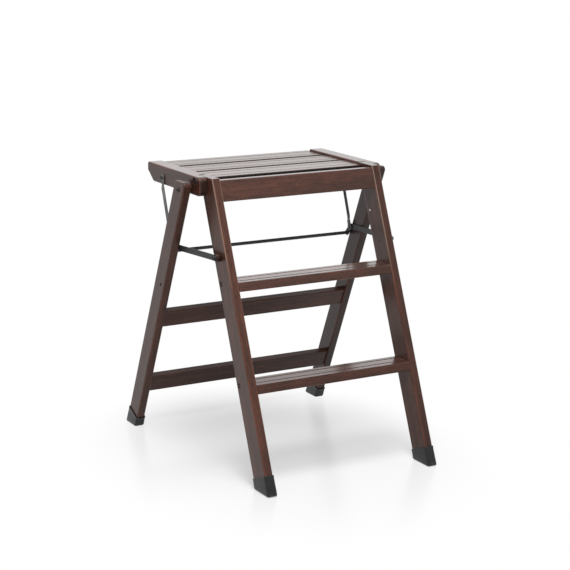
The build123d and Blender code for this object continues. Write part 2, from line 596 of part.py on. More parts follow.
# Pull rod: round bar with a flattened eye at each end, built as one half and mirrored
rod_angle = math.degrees(math.atan2(lock[1] - pull[1], lock[0] - pull[0]))
rod_length = math.dist(pull, lock)
rod_x = RAIL_OUTER + ROD_GAP + PULL_ROD_RADIUS
rod_direction = (0, math.cos(math.radians(rod_angle)), math.sin(math.radians(rod_angle)))


def rod_plane(x, along):
    """Plane square to the pull rod, at a distance from its upper eye."""
    y, z = shifted(pull, along, rod_angle)
    return Plane(origin=(x, y, z), x_dir=(1, 0, 0), z_dir=rod_direction)


with BuildPart() as pull_rod_right:
    with BuildSketch(Plane.YZ.offset(EYE_INNER)) as eye_outline:
        link(pull, shifted(pull, EYE_NECK_LENGTH, rod_angle), EYE_NECK_WIDTH)
        with Locations(pull):
            Circle(EYE_RADIUS)
    extrude(amount=EYE_THICKNESS)
    taper_end = EYE_NECK_LENGTH + EYE_TAPER_LENGTH
    with BuildSketch(rod_plane((EYE_INNER + EYE_OUTER) / 2, EYE_NECK_LENGTH)) as taper_start_section:
        Ellipse(EYE_THICKNESS / 2 - ROD_GAP / 4, EYE_NECK_WIDTH / 2 - ROD_GAP / 4)
    with BuildSketch(rod_plane(rod_x, taper_end)) as taper_end_section:
        Circle(PULL_ROD_RADIUS)
    loft()
    with BuildSketch(rod_plane(rod_x, taper_end)) as rod_section:
        Circle(PULL_ROD_RADIUS)
    extrude(amount=rod_length / 2 - taper_end)
    mirror(about=rod_plane(rod_x, rod_length / 2))
    bar([pull], PULL_SCREW_RADIUS + RUNNING_FIT, EYE_INNER, EYE_OUTER, Mode.SUBTRACT)
    bar([lock], RIVET_RADIUS, EYE_INNER, EYE_OUTER, Mode.SUBTRACT)

with BuildPart() as pull_rod_left:
    mirror(pull_rod_right.part, about=Plane.YZ)

with BuildPart() as pull_rod_screws:
    pull_head_inner = EYE_OUTER + SIDE_GAP
    bar([pull], PULL_SCREW_RADIUS, RAIL_OUTER - PULL_SCREW_GRIP, pull_head_inner)
    bar([pull], PULL_SCREW_HEAD_RADIUS, pull_head_inner, pull_head_inner + PULL_SCREW_HEAD)
    chamfer(pull_rod_screws.faces().sort_by(Axis.X)[-1].edges(), PULL_SCREW_HEAD / 2)
    mirror(about=Plane.YZ)

with BuildPart() as pull_rod_rivets:
    bar([lock], RIVET_HEAD_RADIUS, EYE_INNER - RIVET_INNER_HEAD, EYE_INNER)
    bar([lock], RIVET_RADIUS, EYE_INNER, EYE_OUTER)
    bar([lock], RIVET_HEAD_RADIUS, EYE_OUTER, EYE_OUTER + RIVET_OUTER_HEAD)
    mirror(about=Plane.YZ)

pieces = {
    "front_stile_left": front_stile_left,
    "front_stile_right": front_stile_right,
    "lower_tread": lower_tread,
    "upper_tread": upper_tread,
    "front_apron": front_apron,
    "front_dowels": front_dowels,
    "tread_screws": tread_screws,
    "tread_plugs": tread_plugs,
    "stile_pins": stile_pins,
    "front_foot_left": front_foot_left,
    "front_foot_right": front_foot_right,
    "platform_pivot_bolts": platform_pivot_bolts,
    "spreader_spacer_left": spreader_spacer_left,
    "spreader_spacer_right": spreader_spacer_right,
    "spreader_pivot_bolts": spreader_pivot_bolts,
    "platform_rail_left": platform_rail_left,
    "platform_rail_right": platform_rail_right,
    "platform_slat_front": platform_slat_front,
    "platform_slat_middle": platform_slat_middle,
    "platform_slat_rear": platform_slat_rear,
    "slat_dowels": slat_dowels,
    "rear_pivot_bolts": rear_pivot_bolts,
    "rear_pivot_spacers": rear_pivot_spacers,
    "pull_rod_screws": pull_rod_screws,
    "rear_leg_left": rear_leg_left,
    "rear_leg_right": rear_leg_right,
    "rear_rail_lower": rear_rail_lower,
    "rear_rail_upper": rear_rail_upper,
    "rear_dowels": rear_dowels,
    "rear_leg_screws": rear_leg_screws,
    "rear_foot_left": rear_foot_left,
    "rear_foot_right": rear_foot_right,
    "spreader_strut_left": spreader_strut_left,
    "spreader_strut_right": spreader_strut_right,
    "lock_pins": lock_pins,
    "cross_rod": cross_rod,
    "cross_rod_nuts": cross_rod_nuts,
    "pull_rod_left": pull_rod_left,
    "pull_rod_right": pull_rod_right,
    "pull_rod_rivets": pull_rod_rivets,
}

os.makedirs("parts", exist_ok=True)
for name, piece in pieces.items():
    piece.part.label = name
    export_step(piece.part, f"parts/{name}.step")

pivots = {"platform": pivot, "rear leg": leg_pivot, "spreader": spreader_pivot, "rod": pull}
for name, point in pivots.items():
    print(f"{name} pivot y {point[0]:.3f} z {point[1]:.3f}")
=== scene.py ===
# %% [markdown]
# # A folding step ladder in dark stained beech
#
# The ladder's boards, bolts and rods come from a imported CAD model, already in place and at real size, in
# metres. This lesson gives every one of them a finish, and makes the moulded and turned pieces whose form
# is too fine for the CAD. It could all be drawn afresh here, but then the looks and the folding mechanism
# would drift apart, so the model is loaded first and every later step measures itself from it.

# %% Load the frame
import math

import bpy
import numpy as np
from mathutils import Matrix


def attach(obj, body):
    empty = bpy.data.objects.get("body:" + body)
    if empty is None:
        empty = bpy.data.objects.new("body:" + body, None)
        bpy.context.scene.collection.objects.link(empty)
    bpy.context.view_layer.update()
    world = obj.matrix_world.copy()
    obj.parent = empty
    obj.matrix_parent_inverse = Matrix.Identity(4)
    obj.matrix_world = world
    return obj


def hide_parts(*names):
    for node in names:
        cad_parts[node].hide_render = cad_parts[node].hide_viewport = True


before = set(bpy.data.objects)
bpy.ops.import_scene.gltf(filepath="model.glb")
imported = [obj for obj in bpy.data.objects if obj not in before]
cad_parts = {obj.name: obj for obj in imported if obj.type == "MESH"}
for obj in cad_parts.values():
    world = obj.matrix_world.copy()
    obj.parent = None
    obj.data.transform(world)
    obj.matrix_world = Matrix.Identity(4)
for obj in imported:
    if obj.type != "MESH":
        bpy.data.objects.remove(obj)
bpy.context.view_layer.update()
MM = 0.001
scene = bpy.context.scene

# %% [markdown]
# ## Camera
#
# A product photographer stands well back with a long lens, so that the uprights hardly converge. A
# constraint could aim the camera at the ladder, but it wouldn't take the slight roll of a real tripod. So
# the view is fixed by a place, two angles, the roll and a focal length, and the matrix is built straight
# from them: its columns are the camera's right, up and backward directions.

# %% Camera
CAMERA_PLACE = (-1.8403, -3.2223, 1.2577)
CAMERA_AZIMUTH = math.radians(-29.714)
CAMERA_ELEVATION = math.radians(13.249)
CAMERA_ROLL = math.radians(-0.481)
LENS = 102.66
SENSOR = 36.0
FARTHEST = 100.0


def camera_axes(azimuth, elevation, roll):
    """Right, up and backward directions of a camera that looks down at the elevation, turned by the roll."""
    forward = np.array(
        [
            -math.sin(azimuth) * math.cos(elevation),
            math.cos(azimuth) * math.cos(elevation),
            -math.sin(elevation),
        ]
    )
    level = np.array([math.cos(azimuth), math.sin(azimuth), 0.0])
    down = np.cross(forward, level)
    right = math.cos(roll) * level + math.sin(roll) * down
    up = math.sin(roll) * level - math.cos(roll) * down
    return right, up, -forward


lens = bpy.data.cameras.new("photo_lens")
lens.lens = LENS
lens.sensor_width = SENSOR
lens.clip_end = FARTHEST
camera = bpy.data.objects.new("photo_camera", lens)
scene.collection.objects.link(camera)
placed = np.eye(4)
placed[:3, :3] = np.column_stack(camera_axes(CAMERA_AZIMUTH, CAMERA_ELEVATION, CAMERA_ROLL))
placed[:3, 3] = CAMERA_PLACE
camera.matrix_world = Matrix(placed.tolist())
scene.camera = camera
print("camera at", CAMERA_PLACE)

# %% [markdown]
# ## Node helpers
#
# Every finish below is a small graph of shader nodes. Each node could be added and linked in lines of its
# own, but a few helpers keep the graphs readable: one adds a node and fills its inputs with numbers or
# links, and the others each make one common step, such as mixing two colours, mapping a value to colours,
# or adding two values.

# %% Node helpers
MIX_FACTOR = 0
COLOUR_A = 6
COLOUR_B = 7
COLOUR_RESULT = 2


def add_node(tree, kind, inputs=None, **settings):
    """Adds one node, sets its properties, and fills its inputs with values or links."""
    made = tree.nodes.new(kind)
    for key, value in settings.items():
        setattr(made, key, value)
    for key, value in (inputs or {}).items():
        if isinstance(value, bpy.types.NodeSocket):
            tree.links.new(value, made.inputs[key])
        else:
            made.inputs[key].default_value = value
    return made


def mix_colours(tree, factor, first, second, blend="MIX"):
    """The second colour laid over the first by the factor."""
    ends = {MIX_FACTOR: factor, COLOUR_A: first, COLOUR_B: second}
    return add_node(tree, "ShaderNodeMix", ends, data_type="RGBA", blend_type=blend).outputs[COLOUR_RESULT]


def colour_ramp(tree, factor, stops):
    """A value turned into colours, by (position, colour) stops in rising order."""
    made = add_node(tree, "ShaderNodeValToRGB", {"Fac": factor})
    elements = made.color_ramp.elements
    while len(elements) < len(stops):
        elements.new(stops[-1][0])
    for element, (position, colour) in zip(elements, stops):
        element.position = position
        element.color = (*colour, 1)
    return made.outputs["Color"]


def grey_ramp(tree, factor, low, high):
    """A value stretched so that low becomes 0 and high becomes 1, with a smooth step between."""
    ends = {"Value": factor, "From Min": low, "From Max": high}
    return add_node(tree, "ShaderNodeMapRange", ends, interpolation_type="SMOOTHSTEP").outputs["Result"]


def calculate(tree, operation, first, second=0.0):
    """One arithmetic step on two values."""
    return add_node(tree, "ShaderNodeMath", {0: first, 1: second}, operation=operation).outputs["Value"]


def parts_of(tree, vector):
    """A vector's X, Y and Z as three values."""
    return add_node(tree, "ShaderNodeSeparateXYZ", {0: vector}).outputs


def noise(tree, vector, scale=1.0, detail=3.0, roughness=0.5, distortion=0.0):
    """A cloudy value between 0 and 1, at so many features per unit of the vector."""
    shape = {"Scale": scale, "Detail": detail, "Roughness": roughness, "Distortion": distortion}
    return add_node(tree, "ShaderNodeTexNoise", {"Vector": vector, **shape}).outputs["Fac"]


def raise_relief(tree, shader, height, strength, distance):
    """Bumps on a shader's surface from a height value, so strong and so many metres high."""
    bump = add_node(tree, "ShaderNodeBump", {"Height": height, "Strength": strength, "Distance": distance})
    tree.links.new(bump.outputs["Normal"], shader.inputs["Normal"])


def new_material(name):
    """An empty node material with its Principled shader, ready to be wired."""
    made = bpy.data.materials.new(name)
    made.use_nodes = True
    tree = made.node_tree
    return made, tree, tree.nodes["Principled BSDF"]


def wear_finish(objects, material):
    """Gives each object this one material."""
    for item in objects:
        item.data.materials.clear()
        item.data.materials.append(material)


print("helpers ready")

# %% [markdown]
# ## Floor and world
#
# The ladder stands on a pale satin floor that runs into a white studio. A plain white plane would turn
# grey away from the lamp, so only the part near the feet is shaded, where it takes their soft shadows and
# blurred reflections. Outside an oval it fades to a white glow, for rays that reach the camera or a glossy
# surface. The world does the same: it looks white, but lights the wood gently.

# %% Floor and world
FLOOR_RADIUS = 30.0
FLOOR_RINGS = 24
FLOOR_SPOKES = 96
FLOOR_CROWDING = 3
FLOOR_FADE = (0.40, 1.00)
FLOOR_MIDDLE = (0.10, 0.13, 0.0)
FLOOR_STRETCH = (2.0, 1.6, 1.0)
FLOOR_GLOW = 0.35
FLOOR_COLOUR = (0.80, 0.80, 0.80, 1)
FLOOR_IOR = 1.6
FLOOR_ROUGHNESS = 0.24
AMBIENT = 0.20
WHITE = (1, 1, 1, 1)


def seen_directly(tree):
    """1 for rays from the camera, a mirror or a glass, and 0 for light gathered by matte surfaces."""
    path = add_node(tree, "ShaderNodeLightPath").outputs
    seen = calculate(tree, "MAXIMUM", path["Is Camera Ray"], path["Is Glossy Ray"])
    return calculate(tree, "MAXIMUM", seen, path["Is Transmission Ray"])


def lay_floor():
    """A flat ring grid round the origin: radius grows along one parameter, the angle along the other."""
    radius = FLOOR_RADIUS * np.linspace(0, 1, FLOOR_RINGS) ** FLOOR_CROWDING
    angle = np.linspace(0, 2 * np.pi, FLOOR_SPOKES, endpoint=False)
    r, a = np.meshgrid(radius, angle, indexing="ij")
    points = np.stack([r * np.cos(a), r * np.sin(a), np.zeros_like(r)], axis=-1).reshape(-1, 3)
    i, j = np.meshgrid(np.arange(FLOOR_RINGS - 1), np.arange(FLOOR_SPOKES), indexing="ij")
    k = (j + 1) % FLOOR_SPOKES
    here, there = i * FLOOR_SPOKES, (i + 1) * FLOOR_SPOKES
    faces = np.stack([here + j, there + j, there + k, here + k], axis=-1)
    mesh = bpy.data.meshes.new("studio_floor")
    mesh.from_pydata(points.tolist(), [], faces.reshape(-1, 4).tolist())
    return bpy.data.objects.new("studio_floor", mesh)


def floor_finish():
    """Pale satin sheet that fades to white outside an oval round the feet."""
    material, tree, shader = new_material("floor_sheet")
    place = add_node(tree, "ShaderNodeTexCoord").outputs["Object"]
    squeeze = {"Vector": place, "Location": FLOOR_MIDDLE, "Scale": FLOOR_STRETCH}
    oval = add_node(tree, "ShaderNodeMapping", squeeze).outputs["Vector"]
    far = add_node(tree, "ShaderNodeVectorMath", {0: oval}, operation="LENGTH").outputs["Value"]
    ends = {"Value": far, "From Min": FLOOR_FADE[0], "From Max": FLOOR_FADE[1], "To Min": FLOOR_GLOW}
    share = add_node(tree, "ShaderNodeMapRange", ends, interpolation_type="SMOOTHSTEP").outputs["Result"]
    fade = calculate(tree, "MULTIPLY", share, seen_directly(tree))
    shader.inputs["Base Color"].default_value = FLOOR_COLOUR
    shader.inputs["Roughness"].default_value = FLOOR_ROUGHNESS
    shader.inputs["IOR"].default_value = FLOOR_IOR
    glow = add_node(tree, "ShaderNodeEmission", {"Color": WHITE, "Strength": 1.0}).outputs["Emission"]
    both = add_node(tree, "ShaderNodeMixShader", {0: fade, 1: shader.outputs["BSDF"], 2: glow})
    tree.links.new(both.outputs["Shader"], tree.nodes["Material Output"].inputs["Surface"])
    return material


floor = lay_floor()
scene.collection.objects.link(floor)
wear_finish([floor], floor_finish())

world = bpy.data.worlds.new("white_studio")
world.use_nodes = True
scene.world = world
sky = world.node_tree
gentle = sky.nodes["Background"]
gentle.inputs["Color"].default_value = WHITE
gentle.inputs["Strength"].default_value = AMBIENT
bright = add_node(sky, "ShaderNodeBackground", {"Color": WHITE, "Strength": 1.0})
either = {0: seen_directly(sky), 1: gentle.outputs["Background"], 2: bright.outputs["Background"]}
sky_mix = add_node(sky, "ShaderNodeMixShader", either)
sky.links.new(sky_mix.outputs["Shader"], sky.nodes["World Output"].inputs["Surface"])
print("floor rings", FLOOR_RINGS, "world strength", AMBIENT)

# %% [markdown]
# ## Light
#
# A small lamp would draw hard shadows, and several lamps would cross them. So one large soft box hangs in
# front of the ladder, above it and a little to the left, and the shadows fall softly backwards and to the
# right. The world fills in the rest.

# %% Light
LADDER_MIDDLE = (0, 0, 0.35)
KEY_PLACE = (-0.48, -0.95, 2.6)
KEY_SIZE = (1.0, 1.9)
KEY_POWER = 82


def hang_light(name, place, target, size, power):
    """A soft box of a width and a height at a place, aimed at a target."""
    lamp = bpy.data.lights.new(name, "AREA")
    lamp.shape = "RECTANGLE"
    lamp.size, lamp.size_y = size
    lamp.energy = power
    box = bpy.data.objects.new(name, lamp)
    scene.collection.objects.link(box)
    back = np.subtract(place, target) / np.linalg.norm(np.subtract(place, target))
    side = np.cross((0, 0, 1), back)
    side /= np.linalg.norm(side)
    matrix = np.eye(4)
    matrix[:3, :3] = np.column_stack([side, np.cross(back, side), back])
    matrix[:3, 3] = place
    box.matrix_world = Matrix(matrix.tolist())


hang_light("key_box", KEY_PLACE, LADDER_MIDDLE, KEY_SIZE, KEY_POWER)
scene.view_settings.view_transform = "Standard"
print("soft box at", KEY_PLACE, "of", KEY_POWER, "W")

# %% [markdown]
# ## Stained beech
#
# Beech has a close, even grain with short dark flecks. Stain sinks deepest into the flecks and the end
# grain, and wears thin on the rounded edges, which show redder. A picture of wood would repeat from board
# to board, so the grain is computed from noise. It has to run along each board, so the object coordinates
# are first turned until the board's length lies along X. The board's box is then measured from its mesh in
# those axes, which tells the graph where the rounded edges are.

# %% Measuring a board
EDGE_ON = 0.01
ACROSS = (0.0, 0.0, 0.0)
FORE_AND_AFT = (0.0, 0.0, -math.pi / 2)


def turn_matrix(turn):
    """Rotation by Euler angles about X, then Y, then Z, as a Mapping node turns its vector."""
    cx, cy, cz = np.cos(turn)
    sx, sy, sz = np.sin(turn)
    about_x = np.array([[1, 0, 0], [0, cx, -sx], [0, sx, cx]])
    about_y = np.array([[cy, 0, sy], [0, 1, 0], [-sy, 0, cy]])
    about_z = np.array([[cz, -sz, 0], [sz, cz, 0], [0, 0, 1]])
    return about_z @ about_y @ about_x


def turned_vertices(node, turn):
    """A CAD node's points, turned by Euler angles."""
    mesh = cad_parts[node].data
    points = np.empty(len(mesh.vertices) * 3)
    mesh.vertices.foreach_get("co", points)
    return points.reshape(-1, 3) @ turn_matrix(turn).T


def lean_of(node):
    """A board's lean in radians from +Y towards +Z: it is square to the normal of the board's largest face
    that is edge-on in the side view."""
    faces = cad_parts[node].data.polygons
    normals, areas = np.empty(len(faces) * 3), np.empty(len(faces))
    faces.foreach_get("normal", normals)
    faces.foreach_get("area", areas)
    normals = normals.reshape(-1, 3)
    edge_on = np.abs(normals[:, 0]) < EDGE_ON
    forward, upward = normals[edge_on][areas[edge_on].argmax(), 1:]
    return math.atan2(abs(forward), -np.sign(forward) * upward)


stile_lean = lean_of("front_stile_right")
leg_lean = lean_of("rear_leg_right")
stile_turn = (-stile_lean, 0.0, -math.pi / 2)
leg_turn = (-leg_lean, 0.0, -math.pi / 2)
print("stile lean", round(math.degrees(stile_lean), 2), "leg lean", round(math.degrees(leg_lean), 2))

# %% [markdown]
# The finish is one graph, built once for each board with that board's turn and its own offset into the
# noise, so no two boards share a streak. Its colour comes first. One noise alone looks like marble, so
# five are laid over each other, from broad blotches to short flecks. Each set of three scales says how
# many features of a pattern a metre holds along the board and the two ways across it.

# %% Stain
DEEP_BROWN = (0.034, 0.0145, 0.0102)
RED_BROWN = (0.080, 0.0300, 0.0195)
WARM_BROWN = (0.130, 0.0480, 0.0300)
FLECK_BROWN = (0.014, 0.007, 0.0055, 1)
FIBRE_DARK = (0.62, 0.60, 0.58)
FIGURE_DARK = (0.66, 0.63, 0.62)
UNCHANGED = (1.0, 1.0, 1.0)
TONE_STOPS = [(0.30, DEEP_BROWN), (0.50, RED_BROWN), (0.72, WARM_BROWN)]
FIBRE_STOPS = [(0.30, FIBRE_DARK), (0.70, UNCHANGED)]
FIGURE_PLACES = (0.34, 0.60)
FLECK_RANGE = (0.56, 0.72)
FLECK_SHARE = 0.7
STREAK_SHARE = 0.62
STREAKS = (2.2, 70.0, 70.0)
FIBRES = (24.0, 950.0, 950.0)
FLECKS = (110.0, 520.0, 520.0)
FIGURE = (22.0, 330.0, 330.0)
BLOTCHES = 7.0


def stretch(tree, vector, scales):
    """A vector with each coordinate multiplied by its own scale."""
    made = add_node(tree, "ShaderNodeVectorMath", {0: vector, 1: scales}, operation="MULTIPLY")
    return made.outputs["Vector"]


def stain(tree, grain, strength):
    """The colour of stained wood, with the values of its streaks, fibres and flecks: streaks and blotches
    choose the brown, fibres and figure shade it, and flecks darken it. Strength dims or brightens it all."""
    streak = noise(tree, stretch(tree, grain, STREAKS), detail=4.0, roughness=0.55, distortion=0.35)
    fibre = noise(tree, stretch(tree, grain, FIBRES), detail=3.0, roughness=0.6)
    fleck = grey_ramp(tree, noise(tree, stretch(tree, grain, FLECKS), detail=1.0), *FLECK_RANGE)
    figure = noise(tree, stretch(tree, grain, FIGURE), detail=2.0)
    blotch = noise(tree, grain, scale=BLOTCHES, detail=2.0)
    streaks = calculate(tree, "MULTIPLY", streak, STREAK_SHARE)
    tone = calculate(tree, "ADD", streaks, calculate(tree, "MULTIPLY", blotch, 1 - STREAK_SHARE))
    colour = colour_ramp(tree, tone, TONE_STOPS)
    colour = mix_colours(tree, 1.0, colour, colour_ramp(tree, fibre, FIBRE_STOPS), "MULTIPLY")
    shades = [tuple(strength * part for part in shade) for shade in (FIGURE_DARK, UNCHANGED)]
    mottle = colour_ramp(tree, figure, list(zip(FIGURE_PLACES, shades)))
    colour = mix_colours(tree, 1.0, colour, mottle, "MULTIPLY")
    colour = mix_colours(tree, calculate(tree, "MULTIPLY", fleck, FLECK_SHARE), colour, FLECK_BROWN)
    return colour, streak, fibre, fleck


print("patterns of the stain", len((STREAKS, FIBRES, FLECKS, FIGURE)))

# %% [markdown]
# Stain wears thin in patches along a board's edges. A pale highlight is painted along the stiles' edges near
# the top. A slat's narrow sides hardly see any light, and painted shade darkens them, while its grooves get
# pale dust and a painted highlight. Strips of faces with a second material could show all this, but the CAD
# meshes stay as they are, so the graph finds the edges by itself: where two of a point's three coordinates
# come near the ends of their ranges.

# %% Edges of a board
WORN_EDGE = (0.270, 0.0760, 0.0360, 1)
# Painted highlight along the stiles' edges, strongest near the top.
RIM_HIGHLIGHT = (0.50, 0.36, 0.27, 1)
# Painted shade, multiplied onto the slats' narrow sides, which stand in the dark gaps between slats.
SLAT_SIDE_SHADE = (0.16, 0.13, 0.13, 1)
# Pale dust and a painted highlight on the walls of the slats' grooves.
GROOVE_DUST_AND_SHEEN = (0.30, 0.25, 0.24, 1)
END_GRAIN = (0.020, 0.010, 0.008, 1)
EDGE_WIDTH = 3.2 * MM
PATCHES = (9, 60, 60)
PATCH_RANGE = (0.30, 0.72)
STEEP_RANGE = (0.15, 0.55)
DUST_AND_SHEEN_SHARE = 0.35
# Distances below a stile's top: the painted highlight is full above the second and gone below the first.
RIM_HIGHLIGHT_SPAN = (0.33, 0.17)
RIM_HIGHLIGHT_SHARE = 0.26
END_RANGE = (0.75, 0.95)
END_SHARE = 0.85


def near_edge(tree, value, low, high, width=EDGE_WIDTH):
    """1 where a coordinate comes within the edge's width of either end of its range, fading inwards."""
    middle, half = (low + high) / 2, (high - low) / 2
    offset = calculate(tree, "ABSOLUTE", calculate(tree, "SUBTRACT", value, middle))
    return grey_ramp(tree, offset, half - width, half - width / 4)


def board_rim(tree, along, low, high):
    """1 along the edges of a board's box, where two of its three coordinates are near their ends."""
    ends = [near_edge(tree, along[axis], low[axis], high[axis]) for axis in range(3)]
    pairs = [calculate(tree, "MULTIPLY", ends[a], ends[b]) for a, b in ((1, 2), (0, 1), (0, 2))]
    return calculate(tree, "MAXIMUM", calculate(tree, "MAXIMUM", pairs[0], pairs[1]), pairs[2])


def slat_shade_and_sheen(tree, colour, across, slope, ends):
    """A slat's colour with pale dust and a painted highlight in its grooves and painted shade on its narrow
    sides, and the value that marks those sides: they are steep and near the ends of the range across the
    slat, and the grooves are steep elsewhere."""
    steep = grey_ramp(tree, calculate(tree, "ABSOLUTE", slope), *STEEP_RANGE)
    outside = near_edge(tree, across, *ends)
    dust_and_sheen = calculate(tree, "MULTIPLY", steep, calculate(tree, "SUBTRACT", DUST_AND_SHEEN_SHARE, outside))
    colour = mix_colours(tree, dust_and_sheen, colour, GROOVE_DUST_AND_SHEEN)
    shaded_side = calculate(tree, "MULTIPLY", steep, outside)
    return mix_colours(tree, shaded_side, colour, SLAT_SIDE_SHADE, "MULTIPLY"), shaded_side


print("edges fade over", round(EDGE_WIDTH / MM, 1), "mm")

# %% [markdown]
# One gloss for the whole board would make its uprights shine like the treads. Lacquer lies thickest on
# level faces, where it flowed out, so the clear coat follows the direction that a face looks in. Some
# boards were rubbed to a higher polish, which is given by an index of refraction and a roughness. The
# parts made so far now join in one finish.

# %% Lacquer and the whole finish
SEED_STEP = (3.7, 1.3, 2.1)
LACQUER_IOR = 1.33
SATIN_RANGE = (0.27, 0.35)
MATTE_SIDE = 0.4
LEVEL_RANGE = (0.55, 0.95)
UPRIGHT_COAT = 0.10
SLAT_COAT = 0.88
LEVEL_COAT = 0.95
PLAIN_POLISH = (1.37, 0.20)
FAIR_POLISH = (1.43, 0.20)
HIGH_POLISH = (1.70, 0.17)
FLECK_DEPTH = 0.8
GRAIN_RELIEF = (0.16, 0.10 * MM)


def lay_lacquer(tree, shader, satin, level, gloss, polish):
    """Satin lacquer under a clear coat, which grows from upright faces to level ones."""
    tree.links.new(satin, shader.inputs["Roughness"])
    coat = add_node(tree, "ShaderNodeMapRange", {"Value": level, "To Min": UPRIGHT_COAT, "To Max": gloss})
    tree.links.new(coat.outputs["Result"], shader.inputs["Coat Weight"])
    shader.inputs["IOR"].default_value = LACQUER_IOR
    shader.inputs["Coat IOR"].default_value = polish[0]
    shader.inputs["Coat Roughness"].default_value = polish[1]


def stained_beech(
    name,
    points,
    turn,
    seed,
    strength=1.0,
    wear=0.4,
    gloss=LEVEL_COAT,
    polish=PLAIN_POLISH,
    shaded_slat_sides=False,
    eased=0.0,
    painted_rim_highlight=False,
):
    """Beech stained dark under satin lacquer, for points whose length the turn brings along X. Slats have
    painted shade on their narrow sides, and may have their coat eased off within a distance of them. Stiles
    have a painted highlight along their edges near the top."""
    material, tree, shader = new_material(name)
    low, high = points.min(axis=0), points.max(axis=0)
    coords = add_node(tree, "ShaderNodeTexCoord").outputs
    looks = parts_of(tree, coords["Normal"])
    facing, board = (
        add_node(tree, "ShaderNodeMapping", {"Vector": coords[kind], "Rotation": turn}).outputs["Vector"]
        for kind in ("Normal", "Object")
    )
    along = parts_of(tree, board)
    offset = tuple(seed * step for step in SEED_STEP)
    grain = add_node(tree, "ShaderNodeVectorMath", {0: board, 1: offset}).outputs["Vector"]

    colour, streak, fibre, fleck = stain(tree, grain, strength)
    ends = {"Value": streak, "To Min": SATIN_RANGE[0], "To Max": SATIN_RANGE[1]}
    satin = add_node(tree, "ShaderNodeMapRange", ends).outputs["Result"]
    level = grey_ramp(tree, looks["Z"], *LEVEL_RANGE)
    rim = board_rim(tree, along, low, high)
    patchy = grey_ramp(tree, noise(tree, stretch(tree, grain, PATCHES)), *PATCH_RANGE)
    worn = calculate(tree, "MULTIPLY", rim, patchy)

    # Painted shade on a slat's narrow sides, and pale dust with a painted highlight in its grooves.
    if shaded_slat_sides:
        colour, shaded_side = slat_shade_and_sheen(tree, colour, along["Y"], looks["Y"], (low[1], high[1]))
        worn = calculate(tree, "MULTIPLY", worn, calculate(tree, "SUBTRACT", 1.0, shaded_side))
        satin = calculate(tree, "ADD", satin, calculate(tree, "MULTIPLY", shaded_side, MATTE_SIDE))
    if eased:
        thin = near_edge(tree, along["Y"], low[1], high[1], eased)
        level = calculate(tree, "MULTIPLY", level, calculate(tree, "SUBTRACT", 1.0, thin))
    colour = mix_colours(tree, calculate(tree, "MULTIPLY", worn, wear), colour, WORN_EDGE)
    # A pale painted highlight runs along a stile's edges near its top, where the coat is also thickened.
    if painted_rim_highlight:
        highlight_fade = grey_ramp(tree, along["X"], high[0] - RIM_HIGHLIGHT_SPAN[0], high[0] - RIM_HIGHLIGHT_SPAN[1])
        rim = calculate(tree, "MULTIPLY", rim, highlight_fade)
        colour = mix_colours(tree, calculate(tree, "MULTIPLY", rim, RIM_HIGHLIGHT_SHARE), colour, RIM_HIGHLIGHT)
        level = calculate(tree, "MAXIMUM", level, rim)

    end_on = grey_ramp(tree, calculate(tree, "ABSOLUTE", parts_of(tree, facing)["X"]), *END_RANGE)
    colour = mix_colours(tree, calculate(tree, "MULTIPLY", end_on, END_SHARE), colour, END_GRAIN)
    tree.links.new(colour, shader.inputs["Base Color"])
    lay_lacquer(tree, shader, satin, level, gloss, polish)
    relief = calculate(tree, "SUBTRACT", fibre, calculate(tree, "MULTIPLY", fleck, FLECK_DEPTH))
    raise_relief(tree, shader, relief, *GRAIN_RELIEF)
    return material


print("satin between", *SATIN_RANGE)

# %% [markdown]
# One material for all would run across some of the boards, because they lie in four directions. So each
# board now gets a finish of its own. Some strengths paint light and shade: the right rear leg and the back
# rails are darkened as painted shade, and the left stile and upper tread are painted lighter than the right
# stile and lower tread. The two rear slats are eased at their edges, and the cross rails at the back have
# no thick coat at all.

# %% Boards
EASED_EDGE = 9.0 * MM
slat_nodes = ["platform_slat_front", "platform_slat_middle", "platform_slat_rear"]
cross_boards = ["lower_tread", "upper_tread", "front_apron", "rear_rail_lower", "rear_rail_upper"]
hidden_dowels = ["front_dowels", "slat_dowels", "rear_dowels"]
board_turns = {
    stile_turn: ["front_stile_left", "front_stile_right"],
    leg_turn: ["rear_leg_left", "rear_leg_right"],
    FORE_AND_AFT: ["platform_rail_left", "platform_rail_right"],
    ACROSS: cross_boards + slat_nodes + hidden_dowels,
}
# Painted light and shade per board: strengths below 1 darken boards in shade, and those above 1 lighten
# them.
painted_board_light = {
    "front_stile_left": 1.26,
    "front_stile_right": 0.90,
    "upper_tread": 1.15,
    "lower_tread": 0.92,
    "rear_rail_lower": 0.80,
    "rear_rail_upper": 0.80,
    "rear_leg_right": 0.55,
}
board_gloss = {
    "platform_slat_middle": SLAT_COAT,
    "platform_slat_rear": SLAT_COAT,
    "rear_rail_lower": UPRIGHT_COAT,
    "rear_rail_upper": UPRIGHT_COAT,
}
board_polish = {
    "upper_tread": HIGH_POLISH,
    "front_apron": HIGH_POLISH,
    "platform_slat_front": FAIR_POLISH,
}
boards = [(node, turn) for turn, nodes in board_turns.items() for node in nodes]
for seed, (node, turn) in enumerate(boards, 1):
    finish = stained_beech(
        "beech_" + node,
        turned_vertices(node, turn),
        turn,
        seed,
        painted_board_light.get(node, 1.0),
        gloss=board_gloss.get(node, LEVEL_COAT),
        polish=board_polish.get(node, PLAIN_POLISH),
        shaded_slat_sides=node in slat_nodes,
        eased=EASED_EDGE if node in slat_nodes[1:] else 0.0,
        painted_rim_highlight=turn == stile_turn,
    )
    wear_finish([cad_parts[node]], finish)
print("boards in stained beech", len(boards))

